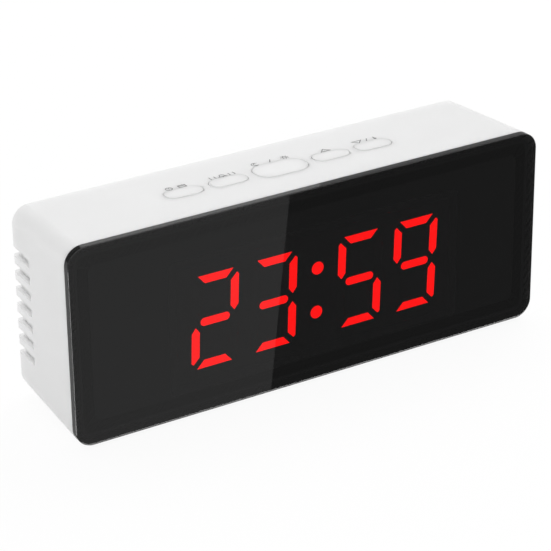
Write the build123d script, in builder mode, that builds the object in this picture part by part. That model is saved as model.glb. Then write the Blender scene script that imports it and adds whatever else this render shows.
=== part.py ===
from build123d import *
import math
import os

# A desk clock with a red digital display behind a tinted front lens.
# Millimetres. x runs to the viewer's right, y from the display to the back, z up from the table.
# The origin is on the table, under the middle of the case.

os.makedirs("parts", exist_ok=True)

# Case
width = 142.0
case_height = 55.4
depth = 35.0
table_gap = 1.0
corner_radius = 5.0
rear_draft = 1.5
wall = 2.0
rear_wall = 2.2
rear_round = 1.0
lens_thickness = 2.0
lens_chamfer = 0.4

# Clearances that several pieces share
overrun = 4.0
fit_gap = 0.2
thread_gap = 0.05
pin_gap = 0.08

# Louvre slots round both rear corners
slot_count = 7
slot_spacing = 4.65
slot_height = 2.4
slot_depth = 1.3
slot_front_y = 7.2
slot_rear_reach = 10.0
slot_row_rise = 0.15

# Adhesive ring between the lens and the frame
tape_thickness = 0.2
tape_width = 3.0
tape_inset = 1.0

# Front frame
frame_plate = 2.0
skirt_wall = 1.2
skirt_depth = 4.0
pillar_radius = 3.0
post_radius = 2.5

# Display: four digits and a colon in one reflector block
display_x = 1.6
display_drop = 2.5
display_length = 84.0
display_height = 33.0
reflector_depth = 6.5
lens_to_display = 0.3
digit_spacing = 17.6
digit_gap_spacing = 26.5
digit_width = 13.8
digit_height = 26.3
digit_slant = 2.2
stroke = 2.3
upright_stroke = 2.4
top_bar_half = 5.25
mitre_run = 2.1
middle_bar_length = 8.7
upright_tip_gap = 1.4
upright_tip_back = 0.6
upright_shoulder = 3.3
upright_waist = 2.7
upright_centre_gap = 1.15
dot_radius = 1.83
dot_rise = 6.35
fill_depth = 3.0
fill_gap = 0.04
die_size = 1.4
die_height = 0.8

# Boards and the pins that join them
board_thickness = 1.6
display_to_main = 1.8
board_side = 10.0
board_pillar_gap = 0.3
board_header_room = 2.8
board_hole_inset = 3.5
pin_radius = 0.25
pin_spacing = 2.54
pin_columns = 12
pin_row_half = 11.0
pin_stub = 0.6

# Parts on the rear of the main board
chip_length = 17.8
chip_height = 7.6
chip_thickness = 2.4
chip_leg_width = 0.45
chip_leg_reach = 1.3
chip_leg_thickness = 0.3
chip_legs = 13
chip_end_leg = 1.28
chip_x = 8.0
chip_rise = -5.5
crystal_length = 10.6
crystal_width = 4.4
crystal_height = 3.4
crystal_x = -12.0
crystal_rise = -7.5
capacitor_radius = 3.0
capacitor_height = 5.4
capacitor_base = 0.8
capacitor_gap = 2.0
capacitor_x = 36.0
capacitor_rise = 4.5
buzzer_radius = 6.0
buzzer_height = 5.5
buzzer_hole_radius = 1.0
buzzer_x = -42.0
buzzer_rise = 0.5
resistor_length = 2.0
resistor_width = 1.25
resistor_height = 0.5
resistor_spacing = 3.2
resistor_count = 8
resistor_x = -8.0
resistor_rise = 5.5
transistor_length = 2.9
transistor_width = 1.4
transistor_height = 1.0
transistor_spacing = 4.6
transistor_count = 4
transistor_x = 20.0
transistor_rise = 5.5

# Keys in the top wall; heights are measured square to the top face
key_row_x = 0.3
inner_key_x = 15.7
key_spacing = 13.3
small_key_length = 10.7
small_key_depth = 5.6
small_key_radius = 2.6
large_key_length = 15.4
large_key_depth = 9.4
large_key_radius = 4.4
key_row_y = -0.2
key_gap = 0.15
key_proud = 0.12
key_edge = 0.15
key_travel = 0.5
flange_reach = 0.8
flange_thickness = 1.0
flange_gap = 0.2
stub_radius = 1.6
stub_length = 0.8
switch_size = 6.0
switch_height = 3.5
switch_chamfer = 0.4
plunger_radius = 1.7
plunger_gap = 0.05
plunger_sunk = 0.9
plunger_floor = 0.3
key_boss_from_key = 4.6
key_board_end = 3.5
key_boss_radius = 2.5
header_pins = 6
header_spacing = 1.5
header_x = -7.5
header_height = 2.5
header_depth = 2.4
header_below_top = 0.3

# Battery bay and its door
bay_wall = 2.0
bay_floor_wall = 1.2
bay_drop = 2.7
cell_gap = 0.5
cell_length = 43.7
cell_radius = 5.2
cell_nub_length = 0.8
cell_nub_radius = 1.9
cell_edge = 0.5
cell_spacing = 10.9
plate_thickness = 0.4
plate_size = 8.0
tab_width = 2.0
tab_reach = 3.8
tab_gap = 0.2
spring_radius = 2.6
spring_wire = 0.25
spring_room = 5.7
spring_turns = 4
door_ledge_end = 1.5
door_ledge_side = 1.4
door_thickness = 2.0
door_gap = 0.25
door_corner = 1.5
hinge_pin_radius = 0.5
hinge_pin_length = 1.2
hinge_pin_gap = 0.06
hinge_end_gap = 0.25
grip_ridges = 4
grip_spacing = 1.8
grip_length = 12.0
grip_depth = 0.4
grip_width = 0.7
grip_below_edge = 4.5
nail_radius = 6.0
nail_height = 1.6
nail_depth = 0.9

# Case screws
corner_screw_inset_x = 9.0
corner_screw_inset_z = 7.7
boss_radius = 3.5
boss_end_y = 4.0
boss_seat_wall = 2.5
case_screw_radius = 1.25
case_screw_length = 12.0
case_head_radius = 2.4
case_head_height = 1.8
head_gap = 0.3
small_screw_radius = 0.9
small_screw_length = 4.5
small_head_radius = 1.75
small_head_height = 1.3
slot_wide_share = 0.26
slot_deep_share = 0.5
hole_spare = 1.0

# Power socket on its own board
socket_board_length = 19.0
socket_board_depth = 8.2
socket_board_drop = 0.4
socket_board_thickness = 1.2
socket_board_inset = 0.3
socket_post_half = 7.2
socket_post_radius = 2.2
socket_post_from_edge = 3.0
socket_width = 8.94
socket_height = 3.26
socket_length = 7.3
socket_radius = 1.4
socket_shell = 0.3
socket_sunk = 0.2
socket_mouth_gap = 0.25
tongue_width = 6.7
tongue_height = 0.7
tongue_length = 5.0
lead_radius = 0.6
lead_half_spacing = 1.6

# Feet
foot_inset_x = 15.0
foot_inset_y = 9.5
foot_pad_radius = 3.8
foot_pad_gap = 0.1
foot_boss_wall = 0.8
foot_boss_lift = 0.6
foot_pad_height = 1.35

# Depths and heights that follow
front_y = -depth / 2
lens_back = front_y + lens_thickness
rear_y = depth / 2
rear_inner = rear_y - rear_wall
mid_z = table_gap + case_height / 2
frame_front = lens_back + tape_thickness
frame_back = frame_front + frame_plate
display_face = lens_back + lens_to_display
display_back = display_face + reflector_depth
display_board_back = display_back + board_thickness
main_board_front = display_board_back + display_to_main
main_board_back = main_board_front + board_thickness
door_inner = rear_y - door_thickness
cell_y = door_inner - fit_gap - cell_radius
bay_floor = cell_y - cell_radius - cell_gap
bay_front = bay_floor - bay_floor_wall
bay_z = mid_z - bay_drop
bay_length = cell_length + cell_nub_length + spring_room + 2 * plate_thickness
bay_height = 2 * (cell_spacing + cell_radius + cell_gap)
door_length = bay_length + 2 * door_ledge_end
door_height = bay_height + 2 * door_ledge_side
display_z = mid_z - display_drop
corner_screw_x = width / 2 - corner_screw_inset_x
corner_screw_z = case_height / 2 - corner_screw_inset_z
screw_seat = boss_end_y + boss_seat_wall
slot_row_z = mid_z + slot_row_rise
draft_run = rear_y - lens_back


def drawn_in(y):
    """How far the drafted case has drawn in at depth y, on each side."""
    return rear_draft * (y - lens_back) / draft_run


def at_depth(y):
    """The upright plane at depth y; a negative extrusion from it runs towards the back."""
    return Plane.XZ.offset(-y)


def case_outline(y, inset):
    """The case's rounded outline at depth y, inset from its outer face."""
    drawn = inset + drawn_in(y)
    with BuildSketch(at_depth(y)) as outline:
        with Locations((0, mid_z)):
            RectangleRounded(width - 2 * drawn, case_height - 2 * drawn, corner_radius - inset)
    return outline.sketch


# The top face leans with the draft; its plane carries everything that belongs to the keys
top_plane = Plane(
    origin=(0, 0, table_gap + case_height - drawn_in(0)),
    x_dir=(1, 0, 0),
    z_dir=(0, rear_draft, draft_run),
)
square_to_top = Axis(top_plane.origin, top_plane.z_dir)


def below_top(amount):
    """The plane parallel to the top face, this far under it."""
    return top_plane.offset(-amount)


# Depths under the top face at which the key pieces meet
flange_top = wall + flange_gap
flange_low = flange_top + flange_thickness
plunger_top = flange_low + stub_length
switch_top = plunger_top + key_travel + plunger_floor
key_board_top = switch_top + switch_height
key_board_low = key_board_top + board_thickness
key_board_width = 2 * (bay_front - fit_gap - key_row_y)
key_boss_x = inner_key_x + key_spacing + small_key_length / 2 + key_boss_from_key
key_board_length = 2 * (key_boss_x + key_board_end)

# The main board fills the height between the lower pillars and the key board's header
main_board_low = mid_z - corner_screw_z + pillar_radius + board_pillar_gap
main_board_high = top_plane.origin.Z - key_board_low - board_header_room
main_board_height = main_board_high - main_board_low
main_board_z = (main_board_low + main_board_high) / 2
main_board_length = display_length + 2 * board_side
board_hole_x = main_board_length / 2 - board_hole_inset
board_hole_z = main_board_height / 2 - board_hole_inset
chip_leg_step = (chip_length - 2 * chip_end_leg) / (chip_legs - 1)
capacitor_step = 2 * capacitor_radius + capacitor_gap
socket_board_z = main_board_low - socket_board_drop
socket_x = (bay_length / 2 + bay_wall + corner_screw_x - boss_radius) / 2

small_key = (small_key_length, small_key_depth, small_key_radius)
large_key = (large_key_length, large_key_depth, large_key_radius)
keys = {
    "mode": (key_row_x - inner_key_x - key_spacing, small_key),
    "alarm": (key_row_x - inner_key_x, small_key),
    "snooze": (key_row_x, large_key),
    "up": (key_row_x + inner_key_x, small_key),
    "down": (key_row_x + inner_key_x + key_spacing, small_key),
}


def key_outline(plane, name, grow):
    """One key's rounded outline on a plane, grown by this much all round."""
    place, (length, deep, radius) = keys[name]
    with BuildSketch(plane) as outline:
        with Locations((place, key_row_y)):
            RectangleRounded(length + 2 * grow, deep + 2 * grow, radius + grow)
    return outline.sketch


def screw(radius, length, head_radius, head_height):
    """A pan-head screw: the head stands on local z = 0 and the shank runs down to a blunt point."""
    with BuildPart() as body:
        with BuildSketch(Plane.XZ):
            with BuildLine():
                Polyline(
                    (0, head_height),
                    (head_radius - head_height / 3, head_height),
                    (head_radius, head_height / 2),
                    (head_radius, 0),
                    (radius, 0),
                    (radius, radius - length),
                    (radius / 2, -length),
                    (0, -length),
                    close=True,
                )
            make_face()
        revolve(axis=Axis.Z)
        with BuildSketch(Plane.XY.offset(head_height)):
            Rectangle(2 * head_radius * slot_deep_share, head_radius * slot_wide_share)
            Rectangle(head_radius * slot_wide_share, 2 * head_radius * slot_deep_share)
        extrude(amount=-head_height * slot_deep_share, mode=Mode.SUBTRACT)
    return body.part


def facing_back(x, y, z):
    """A plane whose local z points to the back of the clock."""
    return Plane(origin=(x, y, z), x_dir=(1, 0, 0), z_dir=(0, 1, 0))


# Front lens: smoked acrylic over the whole front
with BuildPart() as front_lens:
    with BuildSketch(at_depth(lens_back)):
        with Locations((0, mid_z)):
            RectangleRounded(width, case_height, corner_radius)
    extrude(amount=lens_thickness)
    chamfer(front_lens.faces().sort_by(Axis.Y)[0].edges(), lens_chamfer)
front_lens.part.label = "front_lens"
export_step(front_lens.part, "parts/front_lens.step")

# Adhesive ring that holds the lens to the frame
ring_inset = wall + tape_inset
with BuildPart() as lens_adhesive:
    with BuildSketch(at_depth(frame_front)):
        with Locations((0, mid_z)):
            RectangleRounded(
                width - 2 * ring_inset, case_height - 2 * ring_inset, corner_radius - ring_inset
            )
            RectangleRounded(
                width - 2 * (ring_inset + tape_width),
                case_height - 2 * (ring_inset + tape_width),
                corner_radius - ring_inset,
                mode=Mode.SUBTRACT,
            )
    extrude(amount=tape_thickness)
lens_adhesive.part.label = "lens_adhesive"
export_step(lens_adhesive.part, "parts/lens_adhesive.step")

# Front frame: closes the case, carries the display and the boards
window_length = display_length + 2 * fit_gap
window_height = display_height + 2 * fit_gap
board_posts = [
    (display_x + sx * board_hole_x, main_board_z + sz * board_hole_z) for sx in (-1, 1) for sz in (-1, 1)
]
case_screw_places = [
    (sx * corner_screw_x, mid_z + sz * corner_screw_z) for sx in (-1, 1) for sz in (-1, 1)
]
with BuildPart() as front_frame:
    loft([case_outline(frame_front, wall + fit_gap), case_outline(frame_back, wall + fit_gap)])
    with BuildSketch(at_depth(frame_back)):
        with Locations((display_x, display_z)):
            Rectangle(window_length + 2 * skirt_wall, window_height + 2 * skirt_wall)
    extrude(amount=-skirt_depth)
    with BuildSketch(at_depth(frame_front)):
        with Locations((display_x, display_z)):
            Rectangle(window_length, window_height)
    extrude(amount=-(frame_plate + skirt_depth), mode=Mode.SUBTRACT)
    with BuildSketch(at_depth(frame_back)):
        with Locations(*case_screw_places):
            Circle(pillar_radius)
    extrude(amount=frame_back - boss_end_y + fit_gap)
    with BuildSketch(at_depth(frame_back)):
        with Locations(*board_posts):
            Circle(post_radius)
    extrude(amount=frame_back - main_board_front)
    with BuildSketch(at_depth(boss_end_y)):
        with Locations(*case_screw_places):
            Circle(case_screw_radius + thread_gap)
    extrude(amount=case_screw_length - boss_seat_wall + hole_spare, mode=Mode.SUBTRACT)
    with BuildSketch(at_depth(main_board_front)):
        with Locations(*board_posts):
            Circle(small_screw_radius + thread_gap)
    extrude(amount=small_screw_length - board_thickness + hole_spare, mode=Mode.SUBTRACT)
front_frame.part.label = "front_frame"
export_step(front_frame.part, "parts/front_frame.step")

# Housing: one drafted tub, open to the front
slot_inner_x = width / 2 - rear_draft - slot_rear_reach
slot_length = rear_y + overrun - slot_front_y
door_low = bay_z - door_height / 2
door_top = bay_z + door_height / 2
hinge_y = rear_y - door_thickness / 2
hinge_z = door_low + door_thickness / 2
socket_low = socket_board_z + socket_board_thickness
socket_z = socket_low + socket_height / 2
socket_board_back = rear_inner - socket_board_inset
socket_post_y = socket_board_back - socket_post_from_edge
socket_posts = [(socket_x + side * socket_post_half, socket_post_y) for side in (-1, 1)]
key_bosses = [(key_row_x + side * key_boss_x, key_row_y) for side in (-1, 1)]
feet = [
    (sx * (width / 2 - foot_inset_x), sy * (depth / 2 - foot_inset_y)) for sx in (-1, 1) for sy in (-1, 1)
]
foot_recess_radius = foot_pad_radius + foot_pad_gap
tab_y = bay_floor + plate_thickness
lead_ends = [(-1, bay_z + cell_spacing), (1, bay_z - cell_spacing)]

# Louvre slots: they wrap the rear corners and stop at a floor that follows the outer faces
with BuildPart() as louvre_slots:
    for side in (-1, 1):
        with BuildSketch(Plane.YZ.offset(side * slot_inner_x)):
            with Locations((slot_front_y + slot_length / 2, slot_row_z)):
                with GridLocations(0, slot_spacing, 1, slot_count):
                    Rectangle(slot_length, slot_height)
        extrude(amount=side * (slot_rear_reach + rear_draft + overrun))
    loft(
        [case_outline(lens_back, slot_depth), case_outline(rear_y - slot_depth, slot_depth)],
        mode=Mode.SUBTRACT,
    )

with BuildPart() as housing:
    loft([case_outline(lens_back, 0), case_outline(rear_y, 0)])
    fillet(housing.faces().sort_by(Axis.Y)[-1].edges(), rear_round)
    loft([case_outline(lens_back, wall), case_outline(rear_inner, wall)], mode=Mode.SUBTRACT)
    # Foot bosses level the drafted underside
    with BuildSketch(Plane.XY.offset(foot_boss_lift)):
        with Locations(*feet):
            Circle(foot_recess_radius + foot_boss_wall)
    extrude(amount=table_gap + rear_draft + wall / 2 - foot_boss_lift)
    with BuildSketch(Plane.XY):
        with Locations(*feet):
            Circle(foot_recess_radius)
    extrude(amount=foot_pad_height, mode=Mode.SUBTRACT)
    # Screw bosses at the corners
    with BuildSketch(at_depth(boss_end_y)):
        with Locations(*case_screw_places):
            Circle(boss_radius)
    extrude(amount=boss_end_y - rear_inner - rear_wall / 2)
    # Battery bay
    with BuildSketch(at_depth(bay_front)):
        with Locations((0, bay_z)):
            Rectangle(bay_length + 2 * bay_wall, bay_height + 2 * bay_wall)
    extrude(amount=bay_front - rear_inner)
    with BuildSketch(at_depth(bay_floor)):
        with Locations((0, bay_z)):
            Rectangle(bay_length, bay_height)
    extrude(amount=bay_floor - rear_y - overrun, mode=Mode.SUBTRACT)
    with BuildSketch(at_depth(rear_inner)):
        with Locations((0, bay_z)):
            Rectangle(door_length + 2 * door_gap, door_height + 2 * door_gap)
    extrude(amount=-(rear_wall + overrun), mode=Mode.SUBTRACT)
    # Hinge holes at the foot of the door opening
    with BuildSketch(Plane.YZ.offset(-(door_length / 2 + hinge_pin_length + hinge_end_gap))):
        with Locations((hinge_y, hinge_z)):
            Circle(hinge_pin_radius + hinge_pin_gap)
    extrude(amount=door_length + 2 * (hinge_pin_length + hinge_end_gap), mode=Mode.SUBTRACT)
    # Nail recess above the door
    with BuildSketch(at_depth(rear_y - nail_depth)):
        with Locations((0, door_top)):
            RectangleRounded(2 * nail_radius, 2 * (nail_height + door_gap), nail_height)
    extrude(amount=-(nail_depth + overrun), mode=Mode.SUBTRACT)
    # Notches in the bay's ends, where the battery leads leave
    for side, place in lead_ends:
        with BuildSketch(Plane.YZ.offset(side * (bay_length / 2 - plate_thickness))):
            with Locations((tab_y, place)):
                Rectangle(plate_thickness + 2 * tab_gap, tab_width + 2 * tab_gap)
        extrude(amount=side * (bay_wall + overrun / 2), mode=Mode.SUBTRACT)
    # Key holes, and the bosses that carry the key board
    with BuildSketch(below_top(key_board_top)):
        with Locations(*key_bosses):
            Circle(key_boss_radius)
    extrude(amount=key_board_top - wall / 2)
    with BuildSketch(below_top(key_board_top)):
        with Locations(*key_bosses):
            Circle(small_screw_radius + thread_gap)
    extrude(amount=small_screw_length - board_thickness + hole_spare, mode=Mode.SUBTRACT)
    for name in keys:
        extrude(key_outline(below_top(flange_top), name, key_gap), amount=flange_top + overrun / 2,
                mode=Mode.SUBTRACT)
    # Posts under the socket board, and the socket's opening
    with BuildSketch(Plane.XY.offset(socket_board_z)):
        with Locations(*socket_posts):
            Circle(socket_post_radius)
    extrude(amount=-(socket_board_z - table_gap - rear_draft - wall / 2))
    with BuildSketch(Plane.XY.offset(socket_board_z)):
        with Locations(*socket_posts):
            Circle(small_screw_radius + thread_gap)
    extrude(amount=socket_board_thickness - small_screw_length, mode=Mode.SUBTRACT)
    with BuildSketch(at_depth(rear_inner)):
        with Locations((socket_x, socket_z)):
            RectangleRounded(
                socket_width + 2 * socket_mouth_gap,
                socket_height + 2 * socket_mouth_gap,
                socket_radius + socket_mouth_gap,
            )
    extrude(amount=-(rear_wall + overrun), mode=Mode.SUBTRACT)
    # Screw holes, counterbored from the back
    with BuildSketch(at_depth(boss_end_y)):
        with Locations(*case_screw_places):
            Circle(case_screw_radius + fit_gap)
    extrude(amount=boss_end_y - rear_y - overrun, mode=Mode.SUBTRACT)
    with BuildSketch(at_depth(screw_seat)):
        with Locations(*case_screw_places):
            Circle(case_head_radius + head_gap)
    extrude(amount=screw_seat - rear_y - overrun, mode=Mode.SUBTRACT)
    add(louvre_slots.part, mode=Mode.SUBTRACT)
housing.part.label = "housing"
export_step(housing.part, "parts/housing.step")

# Rubber feet
with BuildPart() as foot_pads:
    with BuildSketch(Plane.XY):
        with Locations(*feet):
            Circle(foot_pad_radius)
    extrude(amount=foot_pad_height - foot_pad_gap)
foot_pads.part.label = "foot_pads"
export_step(foot_pads.part, "parts/foot_pads.step")

# Case screws, driven from the back into the frame's pillars
case_screw = screw(case_screw_radius, case_screw_length, case_head_radius, case_head_height)
with BuildPart() as case_screws:
    for x, z in case_screw_places:
        with Locations(facing_back(x, screw_seat, z)):
            add(case_screw)
case_screws.part.label = "case_screws"
export_step(case_screws.part, "parts/case_screws.step")

# Seven-segment shapes, each drawn about the digit's centre
half_w = digit_width / 2
half_h = digit_height / 2
inner_x = half_w - upright_stroke
upright_mid = half_w - upright_stroke / 2
bar_outline = [
    (-top_bar_half, half_h),
    (top_bar_half, half_h),
    (top_bar_half - mitre_run, half_h - stroke),
    (mitre_run - top_bar_half, half_h - stroke),
]
upright_outline = [
    (inner_x, half_h - upright_shoulder),
    (half_w - upright_tip_back, half_h - upright_tip_gap),
    (half_w, half_h - upright_tip_gap - upright_tip_back),
    (half_w, upright_waist),
    (upright_mid, upright_centre_gap),
    (inner_x, upright_waist),
]
segments = {
    "a": (bar_outline, 1, 1),
    "b": (upright_outline, 1, 1),
    "c": (upright_outline, 1, -1),
    "d": (bar_outline, 1, -1),
    "e": (upright_outline, -1, -1),
    "f": (upright_outline, -1, 1),
}
lit_letters = {"2": "abdeg", "3": "abcdg", "5": "acdfg", "9": "abcdfg"}
inner_digit = digit_gap_spacing / 2
digit_places = {
    "2": display_x - inner_digit - digit_spacing,
    "3": display_x - inner_digit,
    "5": display_x + inner_digit,
    "9": display_x + inner_digit + digit_spacing,
}
slant = math.tan(math.radians(digit_slant))


def slanted(x, z):
    """A point of the display, leaned over with the digits."""
    return (x + slant * z, z)


def segment_outline(plane, digit, letter, inset):
    """One segment's outline on a plane; inset leaves room inside its cavity."""
    with BuildSketch(plane) as outline:
        with Locations((digit_places[digit], display_z)):
            if letter == "g":
                SlotOverall(middle_bar_length, stroke)
            else:
                points, flip_x, flip_z = segments[letter]
                Polygon(*[slanted(flip_x * x, flip_z * z) for x, z in points], align=None)
        if inset:
            offset(amount=-inset, kind=Kind.INTERSECTION)
    return outline.sketch


def dot_outline(plane, inset):
    """The colon's two round dots on a plane."""
    with BuildSketch(plane) as outline:
        for rise in (-dot_rise, dot_rise):
            x, z = slanted(0, rise)
            with Locations((display_x + x, display_z + z)):
                Circle(dot_radius - inset)
    return outline.sketch


# Reflector block with a cavity for every segment
with BuildPart() as display_reflector:
    with BuildSketch(at_depth(display_back)):
        with Locations((display_x, display_z)):
            Rectangle(display_length, display_height)
    extrude(amount=reflector_depth)
    for digit in digit_places:
        for letter in "abcdefg":
            extrude(segment_outline(at_depth(display_face), digit, letter, 0), amount=-reflector_depth,
                    mode=Mode.SUBTRACT)
    extrude(dot_outline(at_depth(display_face), 0), amount=-reflector_depth, mode=Mode.SUBTRACT)
display_reflector.part.label = "display_reflector"
export_step(display_reflector.part, "parts/display_reflector.step")

# Clear epoxy in the cavities: the segments that show 23:59, the rest, and the colon
with BuildPart() as lit_segments:
    for digit, letters in lit_letters.items():
        for letter in letters:
            extrude(segment_outline(at_depth(display_face), digit, letter, fill_gap), amount=-fill_depth)
lit_segments.part.label = "lit_segments"
export_step(lit_segments.part, "parts/lit_segments.step")

with BuildPart() as unlit_segments:
    for digit, letters in lit_letters.items():
        for letter in "abcdefg":
            if letter not in letters:
                extrude(segment_outline(at_depth(display_face), digit, letter, fill_gap),
                        amount=-fill_depth)
unlit_segments.part.label = "unlit_segments"
export_step(unlit_segments.part, "parts/unlit_segments.step")

with BuildPart() as colon_dots:
    extrude(dot_outline(at_depth(display_face), fill_gap), amount=-fill_depth)
colon_dots.part.label = "colon_dots"
export_step(colon_dots.part, "parts/colon_dots.step")

# Light-emitting dies, one at the foot of each cavity
upright_rise = (half_h - upright_shoulder + upright_waist) / 2
die_places = {"a": (0, half_h - stroke / 2), "g": (0, 0), "d": (0, stroke / 2 - half_h)}
for letter, (points, flip_x, flip_z) in segments.items():
    if letter not in die_places:
        die_places[letter] = (flip_x * upright_mid, flip_z * upright_rise)
with BuildPart() as led_dies:
    with BuildSketch(at_depth(display_back)):
        for place in digit_places.values():
            for x, z in die_places.values():
                lean_x, lean_z = slanted(x, z)
                with Locations((place + lean_x, display_z + lean_z)):
                    Rectangle(die_size, die_size)
        for rise in (-dot_rise, dot_rise):
            lean_x, lean_z = slanted(0, rise)
            with Locations((display_x + lean_x, display_z + lean_z)):
                Rectangle(die_size, die_size)
    extrude(amount=die_height)
led_dies.part.label = "led_dies"
export_step(led_dies.part, "parts/led_dies.step")


def display_pin_rows(plane, radius, length):
    """Two rows of straight pins behind the display."""
    with BuildPart() as pins:
        with BuildSketch(plane):
            with Locations((display_x, display_z)):
                with GridLocations(pin_spacing, 2 * pin_row_half, pin_columns, 2):
                    Circle(radius)
        extrude(amount=-length)
    return pins.part


# Display board, under the reflector
with BuildPart() as display_board:
    with BuildSketch(at_depth(display_back)):
        with Locations((display_x, display_z)):
            Rectangle(display_length, display_height)
    extrude(amount=-board_thickness)
    add(display_pin_rows(at_depth(display_back), pin_radius + pin_gap, board_thickness),
        mode=Mode.SUBTRACT)
display_board.part.label = "display_board"
export_step(display_board.part, "parts/display_board.step")

pin_length = main_board_back + pin_stub - display_back
with BuildPart() as display_pins:
    add(display_pin_rows(at_depth(display_back), pin_radius, pin_length))
display_pins.part.label = "display_pins"
export_step(display_pins.part, "parts/display_pins.step")

# Angled pins from the key board down to the main board
header_top = main_board_high - header_below_top
header_mid_y = main_board_back + header_depth / 2
header_pin_z = header_top - header_height / 2
key_board_reach = top_plane.origin.Z - key_board_top + pin_stub


def header_pin_set(radius):
    """L-shaped square pins: level through the main board, upright through the key board."""
    with BuildPart() as pins:
        with BuildSketch(Plane.XY.offset(header_pin_z - radius)):
            with Locations((header_x, header_mid_y)):
                with GridLocations(header_spacing, 0, header_pins, 1):
                    Rectangle(2 * radius, 2 * radius)
        extrude(amount=key_board_reach - header_pin_z + radius)
        with BuildSketch(at_depth(header_mid_y)):
            with Locations((header_x, header_pin_z)):
                with GridLocations(header_spacing, 0, header_pins, 1):
                    Rectangle(2 * radius, 2 * radius)
        extrude(amount=header_mid_y - main_board_front + pin_stub)
    return pins.part


with BuildPart() as key_header:
    with BuildSketch(at_depth(main_board_back)):
        with Locations((header_x, header_pin_z)):
            Rectangle(header_spacing * header_pins, header_height)
    extrude(amount=-header_depth)
    add(header_pin_set(pin_radius + pin_gap), mode=Mode.SUBTRACT)
key_header.part.label = "key_header"
export_step(key_header.part, "parts/key_header.step")

with BuildPart() as key_pins:
    add(header_pin_set(pin_radius))
key_pins.part.label = "key_pins"
export_step(key_pins.part, "parts/key_pins.step")

# Main board, on the frame's four posts
with BuildPart() as main_board:
    with BuildSketch(at_depth(main_board_front)):
        with Locations((display_x, main_board_z)):
            Rectangle(main_board_length, main_board_height)
        with Locations(*board_posts):
            Circle(small_screw_radius + fit_gap, mode=Mode.SUBTRACT)
    extrude(amount=-board_thickness)
    add(display_pin_rows(at_depth(display_back), pin_radius + pin_gap, pin_length), mode=Mode.SUBTRACT)
    add(header_pin_set(pin_radius + pin_gap), mode=Mode.SUBTRACT)
main_board.part.label = "main_board"
export_step(main_board.part, "parts/main_board.step")

small_screw = screw(small_screw_radius, small_screw_length, small_head_radius, small_head_height)
with BuildPart() as main_board_screws:
    for x, z in board_posts:
        with Locations(facing_back(x, main_board_back, z)):
            add(small_screw)
main_board_screws.part.label = "main_board_screws"
export_step(main_board_screws.part, "parts/main_board_screws.step")

# Clock chip with its two rows of legs
with BuildPart() as clock_chip:
    with BuildSketch(at_depth(main_board_back + chip_leg_thickness)):
        with Locations((chip_x, main_board_z + chip_rise)):
            Rectangle(chip_length, chip_height)
    extrude(amount=chip_leg_thickness - chip_thickness)
    chamfer(clock_chip.faces().sort_by(Axis.Y)[-1].edges(), chip_leg_thickness)
    with BuildSketch(at_depth(main_board_back)):
        with Locations((chip_x, main_board_z + chip_rise)):
            with GridLocations(chip_leg_step, 0, chip_legs, 1):
                Rectangle(chip_leg_width, chip_height + 2 * chip_leg_reach)
    extrude(amount=-chip_leg_thickness)
clock_chip.part.label = "clock_chip"
export_step(clock_chip.part, "parts/clock_chip.step")

# Crystal can
with BuildPart() as crystal:
    with BuildSketch(at_depth(main_board_back)):
        with Locations((crystal_x, main_board_z + crystal_rise)):
            SlotOverall(crystal_length, crystal_width)
    extrude(amount=-crystal_height)
    fillet(crystal.faces().sort_by(Axis.Y)[-1].edges(), crystal_height / 8)
crystal.part.label = "crystal"
export_step(crystal.part, "parts/crystal.step")

# Capacitors on their square bases
with BuildPart() as capacitors:
    with BuildSketch(at_depth(main_board_back)):
        with Locations((capacitor_x, main_board_z + capacitor_rise)):
            with GridLocations(0, capacitor_step, 1, 2):
                Rectangle(2 * capacitor_radius, 2 * capacitor_radius)
    extrude(amount=-capacitor_base)
    with BuildSketch(at_depth(main_board_back + capacitor_base)):
        with Locations((capacitor_x, main_board_z + capacitor_rise)):
            with GridLocations(0, capacitor_step, 1, 2):
                Circle(capacitor_radius)
    extrude(amount=capacitor_base - capacitor_height)
capacitors.part.label = "capacitors"
export_step(capacitors.part, "parts/capacitors.step")

# Buzzer with its sound hole
with BuildPart() as buzzer:
    with BuildSketch(at_depth(main_board_back)):
        with Locations((buzzer_x, main_board_z + buzzer_rise)):
            Circle(buzzer_radius)
    extrude(amount=-buzzer_height)
    with BuildSketch(at_depth(main_board_back + buzzer_height)):
        with Locations((buzzer_x, main_board_z + buzzer_rise)):
            Circle(buzzer_hole_radius)
    extrude(amount=buzzer_height / 2, mode=Mode.SUBTRACT)
buzzer.part.label = "buzzer"
export_step(buzzer.part, "parts/buzzer.step")

# Rows of resistors and segment-driver transistors
with BuildPart() as resistors:
    with BuildSketch(at_depth(main_board_back)):
        with Locations((resistor_x, main_board_z + resistor_rise)):
            with GridLocations(resistor_spacing, 0, resistor_count, 1):
                Rectangle(resistor_width, resistor_length)
    extrude(amount=-resistor_height)
resistors.part.label = "resistors"
export_step(resistors.part, "parts/resistors.step")

with BuildPart() as transistors:
    with BuildSketch(at_depth(main_board_back)):
        with Locations((transistor_x, main_board_z + transistor_rise)):
            with GridLocations(transistor_spacing, 0, transistor_count, 1):
                Rectangle(transistor_length, transistor_width)
    extrude(amount=-transistor_height)
transistors.part.label = "transistors"
export_step(transistors.part, "parts/transistors.step")

# Key board, hung from the two bosses in the top wall
with BuildPart() as key_board:
    with BuildSketch(below_top(key_board_low)):
        with Locations((key_row_x, key_row_y)):
            Rectangle(key_board_length, key_board_width)
        with Locations(*key_bosses):
            Circle(small_screw_radius + fit_gap, mode=Mode.SUBTRACT)
    extrude(amount=board_thickness)
    add(header_pin_set(pin_radius + pin_gap), mode=Mode.SUBTRACT)
key_board.part.label = "key_board"
export_step(key_board.part, "parts/key_board.step")

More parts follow.
